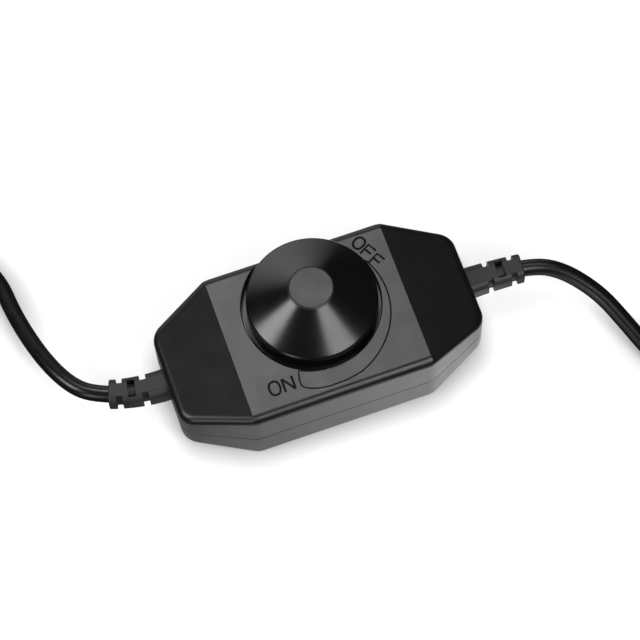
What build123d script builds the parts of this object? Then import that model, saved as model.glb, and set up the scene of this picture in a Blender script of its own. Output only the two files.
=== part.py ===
from build123d import *
import os
from math import cos, pi, radians, sin, sqrt, tan

# An inline dimmer for a low-voltage light strip: a faceted two-piece housing with a thumb knob on top,
# a lead with a socket on the left and a lead with a plug on the right.
# X runs along the housing, +Y is its back and Z is up from the face that it rests on. All sizes are mm.

# Housing
housing_length = 74.8
housing_width = 38.3
housing_height = 20.0
fold_span = 43.4
end_width = 23.5
end_top_height = 16.1
end_bottom_height = 3.3
parting_height = 8.8
wall = 1.8
end_corner_round = 4.6
top_round = 2.1
bottom_round = 0.7
parting_bevel = 0.15
lip_height = 1.2
lip_clearance = 0.1

# Round well in the top panel, open through the back wall
knob_offset = 4.4
knob_side = 0.25
well_clearance = 0.15
well_depth = 3.0
well_floor = 1.6
well_edge_bevel = 0.2

# Knob, a hollow truncated cone on a skirt with a thin flange at its foot
knob_radius = 15.4
knob_gap = 0.5
flange_lip = 0.6
flange_thickness = 0.8
skirt_top = 3.3
knob_rise = 9.7
knob_cap_radius = 5.1
knob_rim_round = 1.0
knob_cap_round = 0.6
knob_wall = 1.6
hub_radius = 5.0
hub_gap = 0.4
hub_cover = 1.7

# Screws and their bosses
boss_spread_x = 39.0
boss_spread_y = 28.0
boss_radius = 2.5
screw_radius = 1.1
screw_length = 12.0
screw_head_radius = 2.0
screw_head_height = 1.5
screw_sink = 0.7
screw_clearance = 0.1
drive_width = 0.5
drive_depth = 0.7
drive_share = 0.7

# Circuit board and its posts
board_length = 48.0
board_width = 21.0
board_thickness = 1.6
board_height = 4.6
post_spread_x = 42.0
post_spread_y = 16.0
post_radius = 2.0
stake_radius = 0.9
stake_rise = 0.5
stake_clearance = 0.1

# Parts on the board, with their places on it
transistor_size = (6.5, 6.0, 2.2)
transistor_place = (-15.5, -3.5)
transistor_tab = (5.2, 2.4)
transistor_leg = (0.8, 2.4)
transistor_pitch = 4.6
strap_thickness = 0.5
moulding_bevel = 0.3
chip_size = (5.0, 3.9, 1.4)
chip_place = (15.0, -4.5)
chip_lift = 0.2
chip_legs = 4
chip_pitch = 1.27
chip_foot = (0.45, 1.2, 0.25)
chip_knee = (0.45, 0.3, 0.9)
capacitor_radius = 3.1
capacitor_height = 7.0
capacitor_place = (-14.5, 6.0)
capacitor_groove = 0.35
capacitor_groove_height = 1.1
resistor_size = (2.0, 1.25, 0.5)
resistor_count = 4
resistor_place = (-8.0, -8.6)
ceramic_size = (2.0, 1.25, 0.9)
ceramic_count = 3
ceramic_place = (9.8, -8.6)
row_pitch = 2.0
diode_size = (4.3, 2.6, 2.0)
diode_place = (14.5, 5.5)
diode_lift = 0.1
diode_strap = (0.6, 1.5, 1.2)

# Switched rotary potentiometer, hung from the well's floor by its bushing
pot_radius = 8.3
pot_wall = 0.5
pot_height = 5.8
wafer_thickness = 1.2
track_radius = 6.6
track_width = 1.6
track_thickness = 0.2
track_gap_angle = 60.0
wiper_radius = 7.0
wiper_thickness = 0.8
wiper_lift = 0.6
finger_length = 2.2
finger_width = 1.0
contact_gap = 0.05
switch_radius = 7.2
bushing_radius = 3.5
bushing_flange = 5.0
bushing_flange_thickness = 0.7
bushing_rise = 3.4
shaft_radius = 3.0
shaft_clearance = 0.05
shaft_flat = 1.5
nut_flats = 10.0
nut_thickness = 2.0
washer_radius = 5.6
washer_thickness = 0.5
terminal_width = 1.2
terminal_thickness = 0.5
terminal_pitch = 5.0

# Lead and its slotted boot
lead_diameter = 4.0
lead_height = 9.8
lead_offset = 0.8
boot_width = 7.0
boot_depth = 6.5
boot_tip_share = 0.9
boot_corner_share = 0.32
boot_root = 4.6
boot_notch = 1.5
boot_ring = 1.3
boot_slot = 1.8
boot_tip = 1.7
boot_rib = 3.2
boot_cheek = 1.2
boot_edge_round = 0.3
boot_bend_left = 18.0
boot_bend_right = 5.0
neck_radius = 2.4
neck_clearance = 0.05
neck_flange = 1.4
lead_overlap = 1.0
bend_share = 0.45

# Conductors inside the housing
wire_diameter = 1.3
wire_pitch = 1.6
pad_pitch = 5.0
pad_inset = 1.8
solder_radius = 1.1
wire_exit = 2.5
wire_landing = 3.5

# In-line socket and plug, 5.5 mm by 2.1 mm
connector_radius = 5.0
connector_body = 25.0
connector_tail = 12.0
tail_radius = 3.6
tail_tip_radius = 2.9
tail_groove = 1.0
tail_groove_depth = 0.6
tail_grooves = 3
connector_round = 0.8
grip_groove = 0.35
grip_grooves = 5
grip_groove_width = 0.9
barrel_radius = 2.75
barrel_length = 9.5
barrel_wall = 0.4
contact_radius = 1.05
contact_wall = 0.35
socket_clearance = 0.1
sleeve_wall = 0.4
socket_depth = 10.5
socket_pin_radius = 1.0
socket_pin_recess = 1.5
sleeve_recess = 0.5

# Routes of the two leads, from the boot to the connector
input_route = [
    (-49.8, 2.6, 9.8), (-54.2, 4.3, 9.8), (-58.1, 7.6, 9.6), (-61.3, 13.4, 8.8), (-64.0, 21.6, 7.0),
    (-66.2, 32.4, 4.6), (-67.0, 42.6, 2.5), (-70.8, 50.8, 2.0), (-78.4, 55.6, 2.0), (-87.4, 55.4, 2.0),
    (-94.6, 50.2, 2.3), (-97.4, 41.8, 3.4), (-97.4, 33.2, 5.0),
]
output_route = [
    (50.0, 0.3, 9.8), (54.8, -0.5, 9.8), (59.1, -2.9, 9.6), (62.9, -6.5, 8.8), (67.1, -12.1, 7.2),
    (70.4, -19.8, 5.0), (73.8, -28.4, 2.8), (79.2, -35.0, 2.0), (87.4, -38.0, 2.0), (96.2, -36.4, 2.0),
    (103.0, -30.6, 2.3), (105.4, -22.0, 3.4), (105.4, -13.4, 5.0),
]

# Levels and places that follow from the sizes above
well_level = housing_height - well_depth
pot_face = well_level - well_floor
pot_base = pot_face - pot_height
board_top = board_height + board_thickness
bushing_top = well_level + bushing_rise
flange_radius = knob_radius + flange_lip
well_radius = flange_radius + knob_side + well_clearance
knob_bottom = well_level + knob_gap
knob_top = housing_height + knob_rise
hub_bottom = bushing_top + hub_gap
shaft_top = knob_top - hub_cover
head_level = screw_sink + screw_head_height
knob_axis = Pos(knob_side, knob_offset, 0)
well_axis = Pos(0, knob_offset, 0)
boot_length = boot_root + 2 * boot_notch + 2 * boot_ring + boot_slot + boot_tip
on_base = (Align.CENTER, Align.CENTER, Align.MIN)
seam = 0.01


def corners(spread_x, spread_y):
    """The four places of a rectangular pattern about the housing's centre."""
    return [(sx * spread_x / 2, sy * spread_y / 2) for sx in (-1, 1) for sy in (-1, 1)]


def disc(radius, bottom, top):
    """An upright cylinder between two levels."""
    return Pos(0, 0, bottom) * Cylinder(radius, top - bottom, align=on_base)


def tube(outer, inner, bottom, top):
    """An upright tube between two levels."""
    return disc(outer, bottom, top) - disc(inner, bottom, top)


def turned(*outline):
    """A solid turned about Z from a closed outline of (radius, level) points."""
    return revolve(make_face(Plane.XZ * Polyline(*outline, close=True)), Axis.Z)


def plan_face(inset):
    """The housing's eight-sided plan with its end corners rounded, moved inwards."""
    x_end, x_fold = housing_length / 2, fold_span / 2
    y_end, y_side = end_width / 2, housing_width / 2
    half = [(x_end, -y_end), (x_end, y_end), (x_fold, y_side)]
    points = half + [(-x, -y) for x, y in half]
    points.insert(3, (-x_fold, y_side))
    points.append((x_fold, -y_side))
    plan = offset(make_face(Polyline(*points, close=True)), -inset, kind=Kind.INTERSECTION)
    ends = [v for v in plan.vertices() if abs(v.X) > (x_end + x_fold) / 2]
    return fillet(ends, end_corner_round - inset)


def side_face(inset):
    """The housing's side view, with sloping end facets above and below, moved inwards."""
    x_end, x_fold = housing_length / 2, fold_span / 2
    right = [(x_fold, 0), (x_end, end_bottom_height), (x_end, end_top_height), (x_fold, housing_height)]
    points = right + [(-x, z) for x, z in reversed(right)]
    return Plane.XZ * offset(make_face(Polyline(*points, close=True)), -inset, kind=Kind.INTERSECTION)


def faceted_block(inset):
    """The body whose plan and side view are the two outlines."""
    return extrude(plan_face(inset), housing_height) & extrude(side_face(inset), housing_width, both=True)


def centre_bar():
    """The middle of the housing as a long bar, with its top and bottom edges rounded."""
    section = Plane.YZ * Pos(0, housing_height / 2) * Rectangle(housing_width, housing_height)
    bar = extrude(section, housing_length, both=True)
    bar = fillet(bar.edges().filter_by(Axis.X).group_by(Axis.Z)[-1], top_round)
    return fillet(bar.edges().filter_by(Axis.X).group_by(Axis.Z)[0], bottom_round)


def end_wedge():
    """The right end as a long wedge: its end wall, side walls and facets, with their edges rounded."""
    x_end = housing_length / 2
    run = housing_length
    depth = (housing_length - fold_span) / 2
    spread = end_width / 2 + (housing_width - end_width) / 2 / depth * run
    high = end_top_height + (housing_height - end_top_height) / depth * run
    low = end_bottom_height - end_bottom_height / depth * run
    far = x_end - run
    plan = [(x_end, -end_width / 2), (x_end, end_width / 2), (far, spread), (far, -spread)]
    side = [(x_end, end_bottom_height), (x_end, end_top_height), (far, high), (far, low)]
    block = extrude(Pos(0, 0, low) * make_face(Polyline(*plan, close=True)), high - low)
    block &= extrude(Plane.XZ * make_face(Polyline(*side, close=True)), 2 * spread, both=True)
    block = fillet([e for e in block.edges().filter_by(Axis.Z) if e.center().X > 0], end_corner_round)
    for sign, radius in ((1, top_round), (-1, bottom_round)):
        facet = block.faces().sort_by(lambda f: sign * f.normal_at().Z)[-1]
        block = fillet([e for e in facet.edges() if e.center().X > far + seam], radius)
    return block


def outer_form():
    """The whole housing's outside: what the bar and the two wedges have in common."""
    wedge = end_wedge()
    return centre_bar() & wedge & wedge.mirror(Plane.YZ)


def half_space(sign):
    """A block that holds everything above (1) or below (-1) the parting plane."""
    level = Align.MIN if sign > 0 else Align.MAX
    size = (2 * housing_length, 2 * housing_width, 2 * housing_height)
    return Pos(0, 0, parting_height) * Box(*size, align=(Align.CENTER, Align.CENTER, level))


def parting_edges(shell):
    """The outside edges of a shell where the two halves meet."""
    at_parting = shell.edges().filter_by_position(Axis.Z, parting_height - seam, parting_height + seam)
    inner = plan_face(wall / 2)
    reach = extrude(Pos(0, 0, -housing_height) * inner, 3 * housing_height)
    return [e for e in at_parting if not reach.is_inside(e.center())]


def lead_openings():
    """Openings through both end walls, round above the lead's axis and straight down to the parting plane."""
    radius = neck_radius + neck_clearance
    low = lead_height - parting_height
    tool = Rot(0, 90, 0) * Cylinder(radius, 2 * housing_length)
    tool += Box(2 * housing_length, 2 * radius, low, align=(Align.CENTER, Align.CENTER, Align.MAX))
    hollow = Box(housing_length - 4 * wall, housing_width, housing_height)
    return Pos(0, lead_offset, lead_height) * (tool - hollow)


def well_tool():
    """What the well takes away: a round pocket that flares at the panel's surface."""
    brim = housing_height + well_edge_bevel
    return well_axis * turned(
        (0, well_level), (well_radius, well_level), (well_radius, housing_height - well_edge_bevel),
        (well_radius + 2 * well_edge_bevel, brim), (0, brim),
    )


def upper_housing():
    """Upper shell: top panel, end facets, the knob's well and the screw bosses."""
    form = outer_form()
    shell = (form - faceted_block(wall)) & half_space(1)
    shell = chamfer(parting_edges(shell), parting_bevel)
    shell -= extrude(Pos(0, 0, parting_height) * plan_face(wall / 2), lip_height + lip_clearance)
    cup = well_axis * disc(well_radius + well_floor, pot_face, housing_height)
    shell += cup & form
    shell -= well_tool()
    shell -= knob_axis * disc(bushing_radius + screw_clearance, pot_face, well_level)
    ceiling = housing_height - wall + seam
    for x, y in corners(boss_spread_x, boss_spread_y):
        shell += Pos(x, y, 0) * disc(boss_radius, parting_height, ceiling)
        tip = head_level + screw_length + 2 * screw_clearance
        shell -= Pos(x, y, 0) * disc(screw_radius + screw_clearance / 2, parting_height, tip)
    return shell - lead_openings()


def lower_housing():
    """Lower shell: the tray with its locating lip, screw bosses and board posts."""
    form = outer_form()
    shell = (form - faceted_block(wall)) & half_space(-1)
    shell = chamfer(parting_edges(shell), parting_bevel)
    ring = plan_face(wall / 2 + lip_clearance) - plan_face(wall)
    lip = extrude(Pos(0, 0, parting_height) * ring, lip_height)
    gate = Box(2 * housing_length, boot_width + 2 * wall, 4 * lip_height)
    shell += lip - Pos(0, lead_offset, parting_height) * gate
    for x, y in corners(boss_spread_x, boss_spread_y):
        shell += Pos(x, y, 0) * disc(boss_radius, wall - seam, parting_height)
        shell -= Pos(x, y, 0) * disc(screw_radius + screw_clearance, 0, parting_height)
        shell -= Pos(x, y, 0) * disc(screw_head_radius + screw_clearance, -1, head_level)
    for x, y in corners(post_spread_x, post_spread_y):
        shell += Pos(x, y, 0) * disc(post_radius, wall - seam, board_height)
        shell += Pos(x, y, 0) * disc(stake_radius, board_height - seam, board_top + stake_rise)
    return shell - lead_openings()


def housing_screws():
    """Four pan-head screws with a cross drive, up through the lower shell."""
    screw = disc(screw_radius, head_level, head_level + screw_length)
    screw += disc(screw_head_radius, screw_sink, head_level)
    screw = fillet(screw.edges().group_by(Axis.Z)[0], drive_width)
    slot = Box(2 * screw_head_radius * drive_share, drive_width, drive_depth, align=on_base)
    screw -= Pos(0, 0, screw_sink) * (slot + Rot(0, 0, 90) * slot)
    tip = screw.edges().group_by(Axis.Z)[-1]
    screw = chamfer(tip, screw_radius / 2)
    return [Pos(x, y, 0) * screw for x, y in corners(boss_spread_x, boss_spread_y)]


def circuit_board():
    """The board, with a hole over each stake."""
    board = Pos(0, 0, board_height) * Box(board_length, board_width, board_thickness, align=on_base)
    board = fillet(board.edges().filter_by(Axis.Z), post_radius)
    for x, y in corners(post_spread_x, post_spread_y):
        board -= Pos(x, y, 0) * disc(stake_radius + stake_clearance, board_height, board_top)
    return board


def knob():
    """The knob: a truncated cone on a flanged skirt, hollow underneath, with a hub on the flatted shaft."""
    rim = housing_height + skirt_top
    slope = (knob_top - rim) / (knob_radius - knob_cap_radius)
    body = turned(
        (0, knob_bottom), (knob_radius, knob_bottom), (knob_radius, rim),
        (knob_cap_radius, knob_top), (0, knob_top),
    )
    around = body.edges().filter_by(GeomType.CIRCLE)
    body = fillet([e for e in around if abs(e.radius - knob_cap_radius) < seam], knob_cap_round)
    around = body.edges().filter_by(GeomType.CIRCLE)
    body = fillet([e for e in around if abs(e.center().Z - rim) < seam], knob_rim_round)
    body += disc(flange_radius, knob_bottom, knob_bottom + flange_thickness)
    drop = knob_wall * sqrt(1 + slope * slope)
    inside = knob_radius - knob_wall
    ceiling = rim - drop + slope * knob_wall
    peak = ceiling + slope * (inside - hub_radius)
    body -= turned(
        (0, knob_bottom - seam), (inside, knob_bottom - seam), (inside, ceiling),
        (hub_radius, peak), (0, peak),
    )
    body += disc(hub_radius, hub_bottom, peak + seam)
    return knob_axis * (body - flatted_shaft(hub_bottom - seam, shaft_top))


def flatted_shaft(bottom, top):
    """The shaft's driving end: a round bar with one flat."""
    flat = Box(2 * shaft_radius, 2 * shaft_radius, top - bottom, align=(Align.MIN, Align.CENTER, Align.MIN))
    return disc(shaft_radius, bottom, top) - Pos(shaft_flat, 0, bottom) * flat


def pot_shaft():
    """The shaft: round in the bushing and flatted inside the knob's hub."""
    foot = pot_base + wafer_thickness + contact_gap
    bar = disc(shaft_radius, foot, hub_bottom) + flatted_shaft(hub_bottom - seam, shaft_top)
    return knob_axis * bar


def wiper_level():
    """The underside of the wiper's disc."""
    return pot_base + wafer_thickness + track_thickness + contact_gap + wiper_lift


def pot_wiper():
    """The wiper: a disc on the shaft with two sprung fingers that reach down to the track."""
    level = wiper_level()
    plate = tube(wiper_radius, shaft_radius, level, level + wiper_thickness)
    for side in (-1, 1):
        reach = Pos(track_radius - finger_length / 2, side * finger_width, level - wiper_lift)
        plate += reach * Box(finger_length / 2, finger_width, wiper_lift + seam, align=on_base)
    return knob_axis * plate


def pot_case():
    """The drawn steel can, open below."""
    can = disc(pot_radius, pot_base, pot_face) - disc(pot_radius - pot_wall, pot_base, pot_face - pot_wall)
    can = fillet(can.edges().filter_by(GeomType.CIRCLE).group_by(Axis.Z)[-1], pot_wall / 2)
    return knob_axis * (can - disc(bushing_radius, pot_base, pot_face))


def pot_wafer():
    """The insulating wafer that closes the can and carries the track."""
    return knob_axis * disc(pot_radius - pot_wall, pot_base, pot_base + wafer_thickness)


def pot_track():
    """The printed resistance track, a ring with a gap."""
    top = pot_base + wafer_thickness
    ring = tube(track_radius + track_width / 2, track_radius - track_width / 2, top, top + track_thickness)
    reach = 2 * pot_radius
    half = track_gap_angle / 2
    edge = [(0, 0), (-reach * cos(radians(half)), reach * sin(radians(half))),
            (-reach * cos(radians(half)), -reach * sin(radians(half)))]
    gap = extrude(Pos(0, 0, top) * make_face(Polyline(*edge, close=True)), track_thickness)
    return knob_axis * (ring - gap)


def pot_bushing():
    """The threaded bushing with its flange under the can's top."""
    top = pot_face - pot_wall
    body = disc(bushing_radius, top, bushing_top) + disc(bushing_flange, top - bushing_flange_thickness, top)
    body = chamfer(body.edges().group_by(Axis.Z)[-1], contact_wall)
    bore = disc(shaft_radius + shaft_clearance, top - bushing_flange_thickness, bushing_top)
    return knob_axis * (body - bore)


def pot_washer():
    """The washer under the nut, in the well."""
    return knob_axis * tube(washer_radius, bushing_radius, well_level, well_level + washer_thickness)


def pot_nut():
    """The thin hexagon nut that holds the potentiometer to the well's floor."""
    base = well_level + washer_thickness
    prism = extrude(Pos(0, 0, base) * RegularPolygon(nut_flats / 2, 6, major_radius=False), nut_thickness)
    crown = turned(
        (0, base), (nut_flats / 2, base), (nut_flats / sqrt(3), base + contact_wall),
        (nut_flats / sqrt(3), base + nut_thickness - contact_wall), (nut_flats / 2, base + nut_thickness),
        (0, base + nut_thickness),
    )
    return knob_axis * ((prism & crown) - disc(bushing_radius, base, base + nut_thickness))


def pot_switch():
    """The on-off switch behind the wafer, standing on the board."""
    body = disc(switch_radius, board_top, pot_base)
    return knob_axis * chamfer(body.edges().group_by(Axis.Z)[0], pot_wall)


def pot_terminals():
    """Three tinned terminals down the front of the potentiometer and through the board."""
    rise = pot_base + wafer_thickness - board_top
    leg = Box(terminal_width, terminal_thickness, rise, align=(Align.CENTER, Align.MAX, Align.MIN))
    return [knob_axis * Pos(k * terminal_pitch, -pot_radius, board_top) * leg for k in (-1, 0, 1)]


def moulding(size, lift):
    """A component's moulded block with its upper edges bevelled, held a little over the board."""
    block = Pos(0, 0, lift) * Box(*size, align=on_base)
    return chamfer(block.edges().group_by(Axis.Z)[-1], moulding_bevel)


def power_transistor():
    """The switching transistor: a moulded body on a metal tab, with two bent legs."""
    half = transistor_size[1] / 2
    tab = Box(*transistor_tab, strap_thickness, align=(Align.CENTER, Align.MIN, Align.MIN))
    leg = Box(*transistor_leg, strap_thickness, align=(Align.CENTER, Align.MAX, Align.MIN))
    body = moulding(transistor_size, 0) + Pos(0, half - strap_thickness, 0) * tab
    for side in (-1, 1):
        body += Pos(side * transistor_pitch / 2, strap_thickness - half, 0) * leg
    return Pos(*transistor_place, board_top) * body


def timer_chip():
    """The pulse-width chip: a moulded body with four gull-wing legs on each side."""
    body = moulding(chip_size, chip_lift)
    half = chip_size[1] / 2
    for k in range(chip_legs):
        for side in (-1, 1):
            along = chip_pitch * (k - (chip_legs - 1) / 2)
            body += Pos(along, side * (half + chip_foot[1] / 2), 0) * Box(*chip_foot, align=on_base)
            body += Pos(along, side * half, 0) * Box(*chip_knee, align=on_base)
    return Pos(*chip_place, board_top) * body


def filter_capacitor():
    """The electrolytic capacitor: a can with a rolled groove, standing on the board."""
    waist = capacitor_radius - capacitor_groove
    low, high = capacitor_groove_height - capacitor_groove, capacitor_groove_height + capacitor_groove
    can = turned(
        (0, 0), (capacitor_radius, 0), (capacitor_radius, low), (waist, capacitor_groove_height),
        (capacitor_radius, high), (capacitor_radius, capacitor_height), (0, capacitor_height),
    )
    can = fillet(can.edges().group_by(Axis.Z)[-1], capacitor_groove)
    return Pos(*capacitor_place, board_top) * can


def chip_row(count, size, place):
    """A row of small surface-mounted chips."""
    chip = Box(*size, align=on_base)
    chip = fillet(chip.edges().filter_by(Axis.X), size[2] / 5)
    return [Pos(*place, board_top) * Pos(0, k * row_pitch, 0) * chip for k in range(count)]


def protection_diode():
    """The diode across the input: a moulded block with folded end straps."""
    body = moulding(diode_size, diode_lift)
    for side in (-1, 1):
        body += Pos(side * diode_size[0] / 2, 0, 0) * Box(*diode_strap, align=on_base)
    return Pos(*diode_place, board_top) * body


def boot_section(path, at, share):
    """The boot's rounded section, square to its axis at a share of its length."""
    width, depth = boot_width * share, boot_depth * share
    return station(path, at) * RectangleRounded(width, depth, boot_corner_share * depth)


def station(path, at):
    """A plane across the boot's axis: its x is level and its z runs along the axis."""
    along = path % at
    return Plane(origin=path @ at, x_dir=(-along.Y, along.X, 0), z_dir=along)


def slotted_boot(bend):
    """A moulded boot along +X from the end wall, bent sideways: a root block, two rings and a tip,
    with notches at the sides, a slot through the middle from above and below, and a neck in the wall."""
    path = JernArc((0, 0, 0), (1, 0, 0), boot_length / radians(abs(bend)), bend)
    sections = Sketch() + [boot_section(path, 0, 1), boot_section(path, 1, boot_tip_share)]
    boot = sweep(sections, path=path, multisection=True)
    boot = fillet(boot.edges().group_by(Axis.X)[-1], boot_edge_round)
    core = lead_diameter / 2 + boot_edge_round / 2
    big = 2 * boot_width
    ring_start = boot_root + boot_notch
    notches = [boot_root + boot_notch / 2, boot_length - boot_tip - boot_notch / 2]
    for middle in notches:
        slab = Box(big, big, boot_notch) - Box(boot_rib, big, boot_notch) - Cylinder(core, boot_notch)
        boot -= station(path, middle / boot_length).location * slab
    middle = ring_start + boot_ring + boot_slot / 2
    span = boot_width * (1 + boot_tip_share) / 2 - 2 * boot_cheek
    slab = Box(span, big, boot_slot) - Cylinder(core, boot_slot)
    boot -= station(path, middle / boot_length).location * slab
    neck = Rot(0, -90, 0) * Cylinder(neck_radius, wall, align=on_base)
    flange_face = Plane(origin=(-wall, 0, 0), x_dir=(0, 1, 0), z_dir=(-1, 0, 0))
    outline = RectangleRounded(boot_width, boot_depth, boot_corner_share * boot_depth)
    return boot + neck + extrude(flange_face * outline, neck_flange)


def input_boot():
    """The boot on the left end."""
    return Pos(-housing_length / 2, lead_offset, lead_height) * Rot(0, 0, 180) * slotted_boot(-boot_bend_left)


def output_boot():
    """The boot on the right end."""
    return Pos(housing_length / 2, lead_offset, lead_height) * slotted_boot(-boot_bend_right)


def lead(name, route):
    """A lead: a plain round tube along straight runs joined by arcs as large as the runs allow."""
    points = [Vector(*p) for p in route]
    runs = [b - a for a, b in zip(points, points[1:])]
    radii = []
    for before, after in zip(runs, runs[1:]):
        half_turn = radians(before.get_angle(after)) / 2
        radii.append(bend_share * min(before.length, after.length) / tan(half_turn))
    path = FilletPolyline(*points, radius=radii)
    face = Plane(origin=path @ 0, z_dir=path % 0) * Circle(lead_diameter / 2)
    solid = sweep(face, path=path)
    share = solid.volume / (pi * lead_diameter**2 / 4 * path.length)
    print(name, "length", round(path.length, 1), "volume share", round(share, 4))
    print(name, "bend radii", [round(r, 1) for r in radii])
    return solid


def wire(side, across):
    """One insulated conductor from the boot's inner face to its pad on the board."""
    start = side * (housing_length / 2 - wall - neck_flange)
    pad_x = side * (board_length / 2 - pad_inset)
    y_lead = lead_offset + across * wire_pitch / 2
    y_pad = across * pad_pitch / 2
    lying = board_top + wire_diameter / 2
    points = [
        (start, y_lead, lead_height), (start - side * wire_exit, y_lead, lead_height),
        (pad_x + side * wire_landing, y_pad, lying), (pad_x, y_pad, lying),
    ]
    path = FilletPolyline(*points, radius=wire_diameter)
    solid = sweep(Plane(origin=path @ 0, z_dir=path % 0) * Circle(wire_diameter / 2), path=path)
    return solid - Pos(pad_x, y_pad, board_top) * Sphere(solder_radius)


def solder_joints():
    """A solder dome on each of the four pads."""
    dome = Sphere(solder_radius) & Box(4 * solder_radius, 4 * solder_radius, 2 * solder_radius, align=on_base)
    return [Pos(x, y, board_top) * dome for x, y in corners(board_length - 2 * pad_inset, pad_pitch)]


def connector_outline(mouth):
    """Half outline of a moulded connector: a grooved tail, a shoulder and a round body."""
    shoulder = connector_tail + connector_radius - tail_radius
    outline = [(0, 0), (tail_tip_radius, 0)]
    pitch = connector_tail / (tail_grooves + 1)
    for k in range(1, tail_grooves + 1):
        middle = k * pitch
        radius = tail_tip_radius + (tail_radius - tail_tip_radius) * middle / connector_tail
        low, high = middle - tail_groove / 2, middle + tail_groove / 2
        waist = radius - tail_groove_depth
        outline += [(radius, low), (waist, low), (waist, high), (radius, high)]
    outline += [(tail_radius, connector_tail), (connector_radius, shoulder)]
    first = shoulder + 2 * grip_groove_width
    for k in range(grip_grooves):
        low = first + 2 * k * grip_groove_width
        high = low + grip_groove_width
        waist = connector_radius - grip_groove
        outline += [(connector_radius, low), (waist, low), (waist, high), (connector_radius, high)]
    lip = connector_radius - connector_round
    return outline + [(connector_radius, mouth - connector_round), (lip, mouth), (0, mouth)]


connector_end = connector_tail + connector_body
socket_place = Pos(*input_route[-1]) * Pos(0, lead_overlap, 0) * Rot(90, 0, 0)
plug_place = Pos(*output_route[-1]) * Pos(0, -lead_overlap, 0) * Rot(-90, 0, 0)
bore_radius = barrel_radius + socket_clearance + sleeve_wall
bore_bottom = connector_end - socket_depth


def dc_socket_body():
    """The in-line socket's moulded body, open at its mouth."""
    body = turned(*connector_outline(connector_end)) - disc(bore_radius, bore_bottom, connector_end)
    return socket_place * body


def dc_socket_sleeve():
    """The spring sleeve that lines the socket."""
    inner = barrel_radius + socket_clearance
    return socket_place * tube(bore_radius, inner, bore_bottom, connector_end - sleeve_recess)


def dc_socket_pin():
    """The socket's centre pin, with a rounded end."""
    pin = disc(socket_pin_radius, bore_bottom, connector_end - socket_pin_recess)
    return socket_place * fillet(pin.edges().group_by(Axis.Z)[-1], socket_pin_radius / 2)


def dc_plug_grip():
    """The plug's moulded grip."""
    return plug_place * turned(*connector_outline(connector_end))


def dc_plug_barrel():
    """The plug's outer barrel."""
    barrel = disc(barrel_radius, connector_end, connector_end + barrel_length)
    barrel = chamfer(barrel.edges().group_by(Axis.Z)[-1], barrel_wall / 2)
    bore = disc(barrel_radius - barrel_wall, connector_end, connector_end + barrel_length)
    return plug_place * (barrel - bore)


def dc_plug_insulator():
    """The black insulator between the barrel and the inner contact."""
    outer = barrel_radius - barrel_wall
    inner = contact_radius + contact_wall
    return plug_place * tube(outer, inner, connector_end, connector_end + barrel_length - barrel_wall)


def dc_plug_contact():
    """The inner contact that takes the socket's pin."""
    top = connector_end + barrel_length - 2 * barrel_wall
    return plug_place * tube(contact_radius + contact_wall, contact_radius, connector_end, top)


supply_lead = lead("input_lead", input_route)
load_lead = lead("output_lead", output_route)
nodes = {
    "upper_housing": upper_housing(),
    "lower_housing": lower_housing(),
    "housing_screws": housing_screws(),
    "circuit_board": circuit_board(),
    "knob": knob(),
    "pot_shaft": pot_shaft(),
    "pot_wiper": pot_wiper(),
    "pot_case": pot_case(),
    "pot_wafer": pot_wafer(),
    "pot_track": pot_track(),
    "pot_bushing": pot_bushing(),
    "pot_washer": pot_washer(),
    "pot_nut": pot_nut(),
    "pot_switch": pot_switch(),
    "pot_terminals": pot_terminals(),
    "power_transistor": power_transistor(),
    "timer_chip": timer_chip(),
    "filter_capacitor": filter_capacitor(),
    "chip_resistors": chip_row(resistor_count, resistor_size, resistor_place),
    "chip_capacitors": chip_row(ceramic_count, ceramic_size, ceramic_place),
    "protection_diode": protection_diode(),
    "input_boot": input_boot() - supply_lead,
    "output_boot": output_boot() - load_lead,
    "input_lead": supply_lead,
    "output_lead": load_lead,
    "input_wire_positive": wire(-1, 1),
    "input_wire_negative": wire(-1, -1),
    "output_wire_positive": wire(1, 1),
    "output_wire_negative": wire(1, -1),
    "solder_joints": solder_joints(),
    "dc_socket_body": dc_socket_body() - supply_lead,
    "dc_socket_sleeve": dc_socket_sleeve(),
    "dc_socket_pin": dc_socket_pin(),
    "dc_plug_grip": dc_plug_grip() - load_lead,
    "dc_plug_barrel": dc_plug_barrel(),
    "dc_plug_insulator": dc_plug_insulator(),
    "dc_plug_contact": dc_plug_contact(),
}
os.makedirs("parts", exist_ok=True)
for node, shape in nodes.items():
    export_step(Compound(shape) if isinstance(shape, list) else shape, f"parts/{node}.step")
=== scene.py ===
from math import atan2, cos, pi, radians, sin

import bmesh
import bpy
from mathutils import Matrix, Vector


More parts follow.
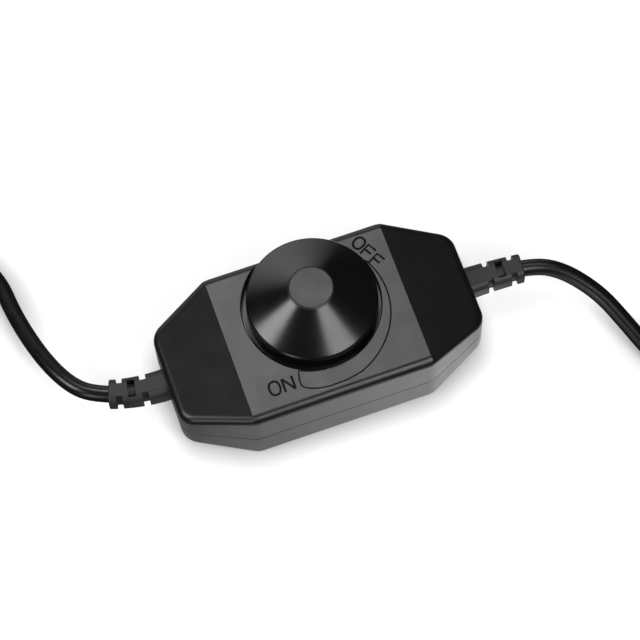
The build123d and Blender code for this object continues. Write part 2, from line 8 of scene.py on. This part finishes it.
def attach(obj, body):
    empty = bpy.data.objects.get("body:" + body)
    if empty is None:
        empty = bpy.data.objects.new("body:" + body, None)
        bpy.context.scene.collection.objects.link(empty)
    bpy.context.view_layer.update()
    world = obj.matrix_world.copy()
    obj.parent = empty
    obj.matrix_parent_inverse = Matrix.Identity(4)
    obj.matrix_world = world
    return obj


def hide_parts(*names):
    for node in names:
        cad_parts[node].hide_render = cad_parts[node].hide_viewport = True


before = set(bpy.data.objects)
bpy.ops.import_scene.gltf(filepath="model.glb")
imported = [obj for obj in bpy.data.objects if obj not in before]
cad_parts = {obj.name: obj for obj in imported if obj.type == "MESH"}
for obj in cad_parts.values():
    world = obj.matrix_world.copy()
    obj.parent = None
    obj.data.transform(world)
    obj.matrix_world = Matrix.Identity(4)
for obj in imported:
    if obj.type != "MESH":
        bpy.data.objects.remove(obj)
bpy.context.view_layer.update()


# Lower shell: the tray that the board is staked into, moulded in black plastic with four screw holes.
# The mould leaves a fine sparked texture on its skin and rounds the upright corners beside its folds.
class Link:
    """An output in a material's node tree: sums on it add Math nodes, and make() adds any other node."""

    def __init__(self, tree, socket):
        self.tree = tree
        self.socket = socket

    def make(self, kind, settings, inputs, output=0):
        """A node with its settings, and its sockets' values or links; gives one of its outputs."""
        node = self.tree.nodes.new(kind)
        for name, value in settings.items():
            setattr(node, name, value)
        for name, value in inputs.items():
            if isinstance(value, Link):
                self.tree.links.new(value.socket, node.inputs[name])
            else:
                node.inputs[name].default_value = value
        return Link(self.tree, node.outputs[output]) if len(node.outputs) else node

    def maths(self, operation, first, second):
        """A Math node on two values or links."""
        return self.make("ShaderNodeMath", {"operation": operation}, {0: first, 1: second})

    def __add__(self, other):
        return self.maths("ADD", self, other)

    __radd__ = __add__

    def __rsub__(self, other):
        return self.maths("SUBTRACT", other, self)

    def __mul__(self, other):
        return self.maths("MULTIPLY", self, other)

    __rmul__ = __mul__

    def __pow__(self, other):
        return self.maths("POWER", self, other)

    def blend(self, dark, pale):
        """A colour between two, by this value."""
        return self.make("ShaderNodeMix", {"data_type": "RGBA"}, {0: self, 6: dark, 7: pale}, 2)

    def grain(self, size, detail=3.0, rough=0.55):
        """Noise of a given grain size in metres, about 0 to 1."""
        inputs = {"Vector": self, "Scale": 1 / size, "Detail": detail, "Roughness": rough}
        return self.make("ShaderNodeTexNoise", {}, inputs)

    def stretch(self, scale):
        """These coordinates, scaled along each axis."""
        return self.make("ShaderNodeMapping", {}, {"Vector": self, "Scale": scale})

    def along(self, axis):
        """One of these coordinates: 0 for x, 1 for y and 2 for z."""
        return self.make("ShaderNodeSeparateXYZ", {}, {"Vector": self}, axis)

    def spread(self, low, high):
        """This value stretched so that low becomes 0 and high becomes 1."""
        return self.make("ShaderNodeMapRange", {"clamp": True}, {0: self, 1: low, 2: high})

    def bump(self, strength, depth):
        """A bumped normal whose height is this value."""
        return self.make("ShaderNodeBump", {}, {"Strength": strength, "Distance": depth, "Height": self})


def new_finish(name):
    """A material with an empty node tree, and its object coordinates."""
    material = bpy.data.materials.new(name)
    material.use_nodes = True
    tree = material.node_tree
    tree.nodes.clear()
    return material, Link(tree, tree.nodes.new("ShaderNodeTexCoord").outputs["Object"])


def coat(place, inputs):
    """Ends a material: a principled surface with these inputs."""
    surface = place.make("ShaderNodeBsdfPrincipled", {}, inputs)
    place.make("ShaderNodeOutputMaterial", {}, {"Surface": surface})


def grey(level):
    """An even grey as a colour, a touch cool."""
    coolness = 1.02
    return (level, level, level * coolness, 1.0)


housing_finish, place = new_finish("sparked black plastic")
spark = place.grain(0.00022, detail=4.0, rough=0.6)
cloud = place.grain(0.006)
coat(place, {
    "Base Color": (spark * 0.6 + cloud * 0.4).spread(0.35, 0.7).blend(grey(0.0035), grey(0.006)),
    "Roughness": 0.29 + cloud.spread(0.3, 0.7) * 0.04 + spark * 0.06,
    "Specular IOR Level": 0.55,
    "Normal": spark.bump(0.22, 0.00004),
})

fold_place = 0.0217
half_width = 0.01915
taper_turn = radians(25.24)
corner_radius = 0.0054
corner_depth = 0.00205
tray_crease = radians(20.0)
underside_level = 0.0


def round_corner(work, side_x, side_y):
    """Rounds an upright corner by the fold: cuts the wall along rays from the arc's axis and bends it in."""
    corner = Vector((side_x * fold_place, side_y * half_width, 0.0))
    outward_x = Vector((side_x, 0.0, 0.0))
    wall = Vector((0.0, side_y, 0.0))
    taper = outward_x * sin(taper_turn) + wall * cos(taper_turn)
    axis = corner - (wall + taper).normalized() * corner_radius / cos(taper_turn / 2)
    rays = 6

    def sunk(v):
        """How deep a vertex lies under the nearer of the two walls."""
        return min((corner - v.co).dot(wall), (corner - v.co).dot(taper))

    for ray in range(rays + 1):
        on_corner_edge = ray * 2 == rays
        if on_corner_edge:
            continue
        turn = taper_turn * ray / rays
        skin = [face for face in work.faces if all(sunk(v) < corner_depth for v in face.verts)]
        edges = {edge for face in skin for edge in face.edges}
        points = {v for face in skin for v in face.verts}
        bmesh.ops.bisect_plane(
            work, geom=skin + list(edges) + list(points), dist=1e-7, plane_co=axis,
            plane_no=outward_x * cos(turn) - wall * sin(turn),
        )
    for v in work.verts:
        arm = Vector((v.co.x, v.co.y, 0.0)) - axis
        turn = atan2(arm.dot(outward_x), arm.dot(wall))
        if 0.0 < turn < taper_turn and sunk(v) < corner_depth:
            spot = axis + arm.normalized() * (corner_radius - sunk(v))
            v.co.x = spot.x
            v.co.y = spot.y


def copy_shell(name, node, finish):
    """A shell's mesh, copied from its CAD node and merged, with its four upright corners rounded."""
    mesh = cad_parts[node].data.copy()
    mesh.materials.clear()
    mesh.materials.append(finish)
    work = bmesh.new()
    work.from_mesh(mesh)
    bmesh.ops.remove_doubles(work, verts=work.verts, dist=1e-6)
    for side_x, side_y in ((-1, -1), (1, -1), (1, 1), (-1, 1)):
        round_corner(work, side_x, side_y)
    work.to_mesh(mesh)
    work.free()
    shell = bpy.data.objects.new(name, mesh)
    bpy.context.scene.collection.objects.link(shell)
    return shell


def shade(shell, crease, fold_level):
    """Smooth shading up to a crease angle, with the two folds at a level kept sharp."""
    off_line, off_level = 0.00006, 0.0005
    work = bmesh.new()
    work.from_mesh(shell.data)
    work.normal_update()
    for face in work.faces:
        face.smooth = True
    for edge in work.edges:
        ends = [v.co for v in edge.verts]
        near_line = all(abs(abs(end.x) - fold_place) < off_line for end in ends)
        near_level = all(abs(end.z - fold_level) < off_level for end in ends)
        folded = near_line and near_level and ends[0].x * ends[1].x > 0
        edge.smooth = edge.calc_face_angle(0.0) < crease and not folded
    work.to_mesh(shell.data)
    work.free()
    flatten = shell.modifiers.new("flat faces", "WEIGHTED_NORMAL")
    flatten.keep_sharp = True
    flatten.weight = 100


tray = copy_shell("tray", "lower_housing", housing_finish)
shade(tray, tray_crease, underside_level)
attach(tray, "housing")
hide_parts("lower_housing")


# Circuit board: a fibreglass board with a green solder mask, pressed over the tray's four stakes.
# The weave of the cloth shows faintly through the mask.
def dress(finish, *nodes):
    """Gives CAD nodes their finish."""
    for node in nodes:
        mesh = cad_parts[node].data
        mesh.materials.clear()
        mesh.materials.append(finish)


board_finish, place = new_finish("green board")
threads = {"Vector": place, "Scale": 380.0}
warp = place.make("ShaderNodeTexWave", {"wave_type": "BANDS", "bands_direction": "X"}, threads)
weft = place.make("ShaderNodeTexWave", {"wave_type": "BANDS", "bands_direction": "Y"}, threads)
cloth = warp * 0.5 + weft * 0.5
coat(place, {
    "Base Color": cloth.blend((0.010, 0.075, 0.028, 1), (0.018, 0.12, 0.045, 1)),
    "Roughness": 0.35 + cloth * 0.1,
    "Normal": cloth.bump(0.1, 0.00003),
})
dress(board_finish, "circuit_board")


# Parts on the board: moulded epoxy chips, a sleeved capacitor, ceramic chips and bright tinned metal.
# They are soldered to the board's face.
def grained_finish(name, size, dark, pale, gloss, metal=0.0, relief=None):
    """A finish on one grain, with gloss as (least roughness, rise) and relief as (bump strength, depth)."""
    finish, place = new_finish(name)
    grain = place.grain(size)
    inputs = {
        "Base Color": grain.blend(dark, pale),
        "Metallic": metal,
        "Roughness": gloss[0] + grain * gloss[1],
    }
    if relief:
        inputs["Normal"] = grain.bump(*relief)
    coat(place, inputs)
    return finish


epoxy_finish = grained_finish(
    "moulded epoxy", 0.0003, grey(0.018), grey(0.032), gloss=(0.55, 0.15), relief=(0.2, 0.00003)
)
dress(epoxy_finish, "power_transistor", "timer_chip", "chip_resistors", "protection_diode")

ceramic_dark, ceramic_pale = (0.30, 0.21, 0.12, 1), (0.42, 0.31, 0.19, 1)
ceramic_finish = grained_finish("fired ceramic", 0.0004, ceramic_dark, ceramic_pale, gloss=(0.45, 0.2))
dress(ceramic_finish, "chip_capacitors")

sleeve_dark, sleeve_pale = (0.012, 0.016, 0.05, 1), (0.02, 0.026, 0.075, 1)
sleeve_finish = grained_finish("capacitor sleeve", 0.0008, sleeve_dark, sleeve_pale, gloss=(0.25, 0.1))
dress(sleeve_finish, "filter_capacitor")

solder_finish = grained_finish(
    "bright solder", 0.0004, grey(0.55), grey(0.72), gloss=(0.18, 0.25), metal=1.0, relief=(0.15, 0.00005)
)
dress(solder_finish, "solder_joints", "pot_terminals")

# Potentiometer: a drawn steel can over a phenolic wafer with a printed carbon track, a switch behind it,
# and a nickelled bushing whose nut clamps it to the floor of the well.
steel_finish, place = new_finish("drawn steel")
streak = place.stretch((1.0, 1.0, 0.08)).grain(0.0003)
coat(place, {
    "Base Color": streak.blend(grey(0.42), grey(0.58)),
    "Metallic": 1.0,
    "Roughness": 0.28 + streak * 0.2,
    "Normal": streak.bump(0.1, 0.00002),
})
dress(steel_finish, "pot_case", "pot_washer")

nickel_dark, nickel_pale = (0.62, 0.59, 0.54, 1), (0.74, 0.71, 0.66, 1)
nickel_finish = grained_finish(
    "nickel plate", 0.0012, nickel_dark, nickel_pale, gloss=(0.14, 0.14), metal=1.0
)
dress(nickel_finish, "pot_bushing", "pot_nut", "pot_shaft")

brass_dark, brass_pale = (0.50, 0.33, 0.12, 1), (0.66, 0.47, 0.20, 1)
brass_finish = grained_finish("plain brass", 0.0012, brass_dark, brass_pale, gloss=(0.2, 0.2), metal=1.0)
dress(brass_finish, "pot_wiper")

phenolic_finish, place = new_finish("phenolic wafer")
layer = place.stretch((0.2, 0.2, 1.0)).grain(0.0002)
coat(place, {
    "Base Color": layer.blend((0.10, 0.045, 0.016, 1), (0.17, 0.085, 0.032, 1)),
    "Roughness": 0.5 + layer * 0.15,
})
dress(phenolic_finish, "pot_wafer")

carbon_finish = grained_finish("carbon print", 0.0002, grey(0.008), grey(0.016), gloss=(0.6, 0.2))
dress(carbon_finish, "pot_track")

switch_finish = grained_finish("switch plastic", 0.0005, grey(0.02), grey(0.032), gloss=(0.45, 0.15))
dress(switch_finish, "pot_switch")

# Wires inside: four stranded conductors in smooth red and black insulation.
# Each runs from its boot's inner face to a pad.
red_dark, red_pale = (0.34, 0.012, 0.010, 1), (0.46, 0.022, 0.018, 1)
red_finish = grained_finish("red insulation", 0.002, red_dark, red_pale, gloss=(0.3, 0.15))
dress(red_finish, "input_wire_positive", "output_wire_positive")

black_finish = grained_finish("black insulation", 0.002, grey(0.010), grey(0.018), gloss=(0.3, 0.15))
dress(black_finish, "input_wire_negative", "output_wire_negative")

# Boots: slotted strain reliefs moulded over the leads in soft black vinyl, a little greyer than the shells.
# A flange inside each end wall holds them.
boot_finish, place = new_finish("soft vinyl")
speck = place.grain(0.0004, detail=4.0, rough=0.6)
cloud = place.grain(0.003)
coat(place, {
    "Base Color": (speck * 0.5 + cloud * 0.5).spread(0.35, 0.65).blend(grey(0.015), grey(0.025)),
    "Roughness": 0.46 + cloud * 0.1,
    "Normal": speck.bump(0.12, 0.00004),
})
dress(boot_finish, "input_boot", "output_boot")

# Connectors: a moulded socket on the input lead and a moulded plug on the output lead, 5.5 mm by 2.1 mm.
# The grips are satin vinyl with grooved tails, the barrel and the socket's contacts are nickelled,
# and the plug's inner contact is brass.
grip_finish, place = new_finish("satin grip")
speck = place.grain(0.0005, detail=4.0, rough=0.6)
coat(place, {
    "Base Color": speck.blend(grey(0.010), grey(0.018)),
    "Roughness": 0.36 + speck * 0.14,
    "Normal": speck.bump(0.1, 0.00004),
})
dress(grip_finish, "dc_socket_body", "dc_plug_grip")
dress(switch_finish, "dc_plug_insulator")
dress(nickel_finish, "dc_socket_sleeve", "dc_socket_pin", "dc_plug_barrel")
dress(brass_finish, "dc_plug_contact")

# Leads: round two-core cords with a smooth glossy black vinyl jacket, 4 mm thick and limp.
# Each leaves its boot level, comes down to the table and turns back to its connector.
millimetre = 0.001
jacket_diameter = 0.004
jacket_finish, place = new_finish("glossy jacket")
haze = place.grain(0.004)
speck = place.grain(0.0006)
coat(place, {
    "Base Color": haze.spread(0.3, 0.7).blend(grey(0.003), grey(0.006)),
    "Roughness": 0.22 + haze * 0.08 + speck * 0.05,
    "Normal": speck.bump(0.05, 0.00004),
})


def lay_lead(name, node, route):
    """A lead along its route's smooth line, in place of the plain tube; the route is in millimetres."""
    curve = bpy.data.curves.new(name, "CURVE")
    curve.dimensions = "3D"
    line = curve.splines.new("NURBS")
    line.points.add(len(route) - 1)
    for point, spot in zip(line.points, route):
        point.co = (*[millimetre * x for x in spot], 1.0)
    line.order_u = 3
    line.use_endpoint_u = True
    line.resolution_u = 16
    curve.bevel_depth = jacket_diameter / 2
    curve.bevel_resolution = 8
    curve.use_fill_caps = True
    curve.materials.append(jacket_finish)
    lead = bpy.data.objects.new(name, curve)
    bpy.context.scene.collection.objects.link(lead)
    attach(lead, "housing")
    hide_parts(node)


lay_lead(
    "supply_lead", "input_lead",
    [(-49.8, 2.6, 9.8), (-54.2, 4.3, 9.8), (-58.1, 7.6, 9.6), (-61.3, 13.4, 8.8), (-64.0, 21.6, 7.0),
     (-66.2, 32.4, 4.6), (-67.0, 42.6, 2.5), (-70.8, 50.8, 2.0), (-78.4, 55.6, 2.0), (-87.4, 55.4, 2.0),
     (-94.6, 50.2, 2.3), (-97.4, 41.8, 3.4), (-97.4, 33.2, 5.0)],
)
lay_lead(
    "strip_lead", "output_lead",
    [(50.0, 0.3, 9.8), (54.8, -0.5, 9.8), (59.1, -2.9, 9.6), (62.9, -6.5, 8.8), (67.1, -12.1, 7.2),
     (70.4, -19.8, 5.0), (73.8, -28.4, 2.8), (79.2, -35.0, 2.0), (87.4, -38.0, 2.0), (96.2, -36.4, 2.0),
     (103.0, -30.6, 2.3), (105.4, -22.0, 3.4), (105.4, -13.4, 5.0)],
)

# Upper shell: the faceted lid in the same plastic, with ON, OFF and a widening sweep cut into its panel.
# The marks are shallow round-bottomed grooves from the mould, duller than the skin around them.
panel_level = 0.020
lid_crease = radians(12.5)
well_centre = (0.0, 4.4)
stroke_radius = 0.00028
outline_radius = 0.00018
on_loop_size, on_loop_place = (2.55, 3.35), (-14.8, -12.55)
n_left, n_right, n_foot, n_head = -12.65, -10.25, -14.25, -10.9
off_turn = -60.7
off_loop_size, off_loop_place = (2.45, 3.05), (15.6, 15.2)
f_height, f_top_arm, f_bar_height, f_bar_arm = 3.0, 2.3, 1.55, 2.0
f_feet = ((14.95, 12.6), (16.1, 9.75))
groove_finish, place = new_finish("groove plastic")
speck = place.grain(0.0002)
coat(place, {
    "Base Color": speck.blend(grey(0.004), grey(0.007)),
    "Roughness": 0.75 + speck * 0.1,
    "Specular IOR Level": 0.25,
})


def groove(name, strokes, radius, closed=False):
    """Rods along strokes of (x, y) points in millimetres, half sunk in the panel."""
    curve = bpy.data.curves.new(name, "CURVE")
    curve.dimensions = "3D"
    curve.bevel_depth = radius
    curve.bevel_resolution = 6
    curve.use_fill_caps = True
    for stroke in strokes:
        line = curve.splines.new("POLY")
        line.points.add(len(stroke) - 1)
        for point, (x, y) in zip(line.points, stroke):
            point.co = (millimetre * x, millimetre * y, panel_level, 1.0)
        line.use_cyclic_u = closed
    rods = bpy.data.objects.new(name, curve)
    bpy.context.scene.collection.objects.link(rods)
    mesh = bpy.data.meshes.new_from_object(rods)
    bpy.data.objects.remove(rods)
    mesh.materials.clear()
    mesh.materials.append(groove_finish)
    return mesh


def turned_by(points, angle, origin):
    """Points turned by an angle in degrees and set at an origin."""
    c, s = cos(radians(angle)), sin(radians(angle))
    return [(origin[0] + c * x - s * y, origin[1] + s * x + c * y) for x, y in points]


def round_letter(width, height):
    """The letter O as a rounded loop about its own centre."""
    corners, squareness = 40, 0.86
    loop = []
    for k in range(corners):
        turn = radians(360 / corners * k)
        across, up = cos(turn), sin(turn)
        loop.append((
            width / 2 * abs(across) ** squareness * (1 if across > 0 else -1),
            height / 2 * abs(up) ** squareness * (1 if up > 0 else -1),
        ))
    return loop


def spiral(start, end, first, last, steps):
    """Points about the well between two angles in degrees, while the radius goes from first to last."""
    points = []
    for k in range(steps + 1):
        share = k / steps
        turn = radians(start + (end - start) * share)
        reach = first + (last - first) * share
        points.append((well_centre[0] + reach * cos(turn), well_centre[1] + reach * sin(turn)))
    return points


loops = [
    turned_by(round_letter(*on_loop_size), 0, on_loop_place),
    turned_by(round_letter(*off_loop_size), off_turn, off_loop_place),
]
letter_n = [(n_left, n_foot), (n_left, n_head), (n_right, n_foot), (n_right, n_head)]
letter_f = [
    [(f_top_arm, f_height), (0.0, f_height), (0.0, 0.0)],
    [(0.0, f_bar_height), (f_bar_arm, f_bar_height)],
]
stems = [letter_n[:2], letter_n[1:3], letter_n[2:]]
for foot in f_feet:
    stems += [turned_by(stroke, off_turn, foot) for stroke in letter_f]
outer_arc = spiral(start=22.0, end=-75.0, first=16.7, last=20.55, steps=60)
front_edge = [(1.5, -16.2), (-2.4, -16.3), (-5.0, -16.0), (-7.1, -15.3), (-8.3, -14.6), (-8.8, -13.9)]
wide_end = [(-8.75, -12.6), (-8.5, -11.35)]
inner_arc = spiral(start=-119.2, end=-97.0, first=16.85, last=16.5, steps=10)
cutters = [
    groove("letter_loops", loops, stroke_radius, closed=True),
    groove("letter_stems", stems, stroke_radius),
    groove("sweep", [outer_arc + front_edge + wide_end + inner_arc], outline_radius),
]
lid = copy_shell("lid", "upper_housing", housing_finish)
for mesh in cutters:
    tool = bpy.data.objects.new("cutter", mesh)
    bpy.context.scene.collection.objects.link(tool)
    cut = lid.modifiers.new("cut", "BOOLEAN")
    cut.operation = "DIFFERENCE"
    cut.solver = "EXACT"
    cut.use_self = True
    cut.material_mode = "TRANSFER"
    cut.object = tool
    bpy.context.view_layer.update()
    carved = bpy.data.meshes.new_from_object(lid.evaluated_get(bpy.context.evaluated_depsgraph_get()))
    lid.modifiers.clear()
    lid.data = carved
    bpy.data.objects.remove(tool)
shade(lid, lid_crease, panel_level)
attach(lid, "housing")
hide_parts("upper_housing")

# Screws: four zinc-plated pan heads with a cross drive, sunk in the tray's underside.
# They cut their own thread in the lid's bosses.
zinc_dark, zinc_pale = (0.30, 0.30, 0.31, 1), (0.46, 0.46, 0.47, 1)
zinc_finish = grained_finish("zinc plate", 0.0006, zinc_dark, zinc_pale, gloss=(0.26, 0.2), metal=1.0)
dress(zinc_finish, "housing_screws")

# Knob: a polished black cone with a satin flat on top and a duller flange at its foot, pressed on the shaft.
# The moulding is smoother than the shells, so it shows the lights as streaks down its side.
cap_level = 0.0295
flange_level = 0.0184
finish_edge = 0.0001
knob_finish, place = new_finish("polished black plastic")
haze = place.grain(0.005)
speck = place.grain(0.0003)
dimple = place.grain(0.006, detail=1.0)
height = place.along(2)
on_cap = height.spread(cap_level - finish_edge, cap_level)
on_flange = height.spread(flange_level + finish_edge, flange_level)
cap_dulling = 0.04 + speck * 0.1 + dimple * 0.14
coat(place, {
    "Base Color": haze.spread(0.3, 0.7).blend(grey(0.0025), grey(0.0045)),
    "Roughness": 0.20 + haze * 0.04 + on_cap * cap_dulling + on_flange * 0.13,
    "Specular IOR Level": 0.55,
    "Normal": (speck * on_cap).bump(0.1, 0.00004),
})
dress(knob_finish, "knob")

# Table: a plain white table that the dimmer lies on, with a soft shadow close around it, partly cast and
# partly painted.
# The camera sees it white; glossy plastic shows it as a painted reflection, only near the dimmer and
# brighter to the right.
table_reach = 3.0
reflection_full_reach, reflection_end_reach = 0.048, 0.08
side_reach = 0.05
painted_shadow_reach, painted_shadow_power = 0.0058, 1.4
seen_level, painted_reflection_level, painted_reflection_rise = 0.75, 0.04, 1.5
table_white, table_dark = (0.86, 0.86, 0.86, 1), (0.02, 0.02, 0.02, 1)
table_mesh = bpy.data.meshes.new("table")
work = bmesh.new()
bmesh.ops.create_grid(work, x_segments=1, y_segments=1, size=table_reach)
work.to_mesh(table_mesh)
work.free()
table = bpy.data.objects.new("table", table_mesh)
bpy.context.scene.collection.objects.link(table)
table_finish, place = new_finish("white table")
seen = place.make("ShaderNodeLightPath", {}, {}, "Is Camera Ray")
mirrored = place.make("ShaderNodeLightPath", {}, {}, "Is Glossy Ray")
oval = place.stretch((1.4, 1.0, 1.0))
away = place.make("ShaderNodeVectorMath", {"operation": "LENGTH"}, {0: oval}, "Value")
reflection_fade = away.spread(reflection_full_reach, reflection_end_reach)
reflection_rightward = place.along(0).spread(-side_reach, side_reach)
# Painted reflection: in reflections the table is darker, and darkest away from the dimmer.
tone = (mirrored * (0.5 + reflection_fade * 0.45) + seen * 0.5).blend(table_white, table_dark)
# Painted shadow: the glow the camera sees is dimmed where the dimmer closes in over the table.
painted_shadow_openness = place.make("ShaderNodeAmbientOcclusion", {"samples": 16}, {"Distance": painted_shadow_reach}, "AO")
# Painted reflection: a glow that only glossy rays see, near the dimmer and brighter to the right.
painted_reflection_glow = mirrored * (1.0 - reflection_fade) * (painted_reflection_level + reflection_rightward * painted_reflection_rise)
glow_level = seen * painted_shadow_openness ** painted_shadow_power * seen_level + painted_reflection_glow
matt = place.make("ShaderNodeBsdfDiffuse", {}, {"Color": tone})
glow = place.make("ShaderNodeEmission", {}, {"Color": (1, 1, 1, 1), "Strength": glow_level})
both = place.make("ShaderNodeAddShader", {}, {0: matt, 1: glow})
place.make("ShaderNodeOutputMaterial", {}, {"Surface": both})
table_mesh.materials.append(table_finish)

# Studio: a white background with a pale screen behind the table, which only the glossy plastic shows.
# Four softboxes light the dimmer: overhead at the back, on the left, low on the left and in front.
screen_direction = (-0.125, 0.992, 0.0)
screen_edge, screen_full = 0.73, 0.98
background_level, screen_level, fill_level = 0.96, 1.45, 0.04
world = bpy.data.worlds.new("studio")
world.use_nodes = True
bpy.context.scene.world = world
studio = world.node_tree
studio.nodes.clear()
sky = Link(studio, studio.nodes.new("ShaderNodeTexCoord").outputs["Generated"])
seen = sky.make("ShaderNodeLightPath", {}, {}, "Is Camera Ray")
mirrored = sky.make("ShaderNodeLightPath", {}, {}, "Is Glossy Ray")
toward = {0: sky, 1: screen_direction}
facing = sky.make("ShaderNodeVectorMath", {"operation": "DOT_PRODUCT"}, toward, "Value")
screen = facing.spread(screen_edge, screen_full)
brightness = seen * background_level + mirrored * screen * screen_level + fill_level
air = sky.make("ShaderNodeBackground", {}, {"Color": (1, 1, 1, 1), "Strength": brightness})
sky.make("ShaderNodeOutputWorld", {}, {"Surface": air})

housing_middle = Vector((0.0, 0.0045, 0.02))
lamp_distance = 0.7


def softbox(name, direction, width, height, radiance):
    """A soft lamp that faces the housing from a direction."""
    lamp = bpy.data.lights.new(name, "AREA")
    lamp.shape = "RECTANGLE"
    lamp.size = width
    lamp.size_y = height
    lamp.energy = radiance * pi * width * height
    holder = bpy.data.objects.new(name, lamp)
    outward = Vector(direction).normalized()
    holder.location = housing_middle + outward * lamp_distance
    holder.rotation_euler = outward.to_track_quat("Z", "Y").to_euler()
    bpy.context.scene.collection.objects.link(holder)


softbox("overhead", (0.045, 0.366, 0.925), width=0.24, height=0.24, radiance=7.0)
softbox("left", (-0.787, 0.007, 0.616), width=0.26, height=0.28, radiance=7.7)
softbox("low left", (-0.69, -0.66, 0.30), width=0.18, height=0.34, radiance=3.2)
softbox("front", (0.27, -0.62, 0.74), width=0.34, height=0.44, radiance=5.5)

# Camera: above the front and a little to the left, with a long lens, as the photograph was taken.
# The picture is square.
focal_px, picture_px = 2605.0, 640.0
eye = Vector((-0.06069, -0.22099, 0.57894))
target = Vector((0.00245, 0.00667, 0.00290))
roll = radians(-4.07)
back = (eye - target).normalized()
level = Vector((0, 0, 1)).cross(back).normalized()
rise = back.cross(level)
across = level * cos(roll) + rise * sin(roll)
up = rise * cos(roll) - level * sin(roll)
lens = bpy.data.cameras.new("camera")
lens.sensor_width = 36.0
lens.lens = focal_px / picture_px * lens.sensor_width
lens.clip_start = 0.01
lens.clip_end = 20.0
camera = bpy.data.objects.new("camera", lens)
camera.matrix_world = Matrix((
    (across.x, up.x, back.x, eye.x),
    (across.y, up.y, back.y, eye.y),
    (across.z, up.z, back.z, eye.z),
    (0, 0, 0, 1),
))
bpy.context.scene.collection.objects.link(camera)
bpy.context.scene.camera = camera
bpy.context.scene.view_settings.view_transform = "Standard"
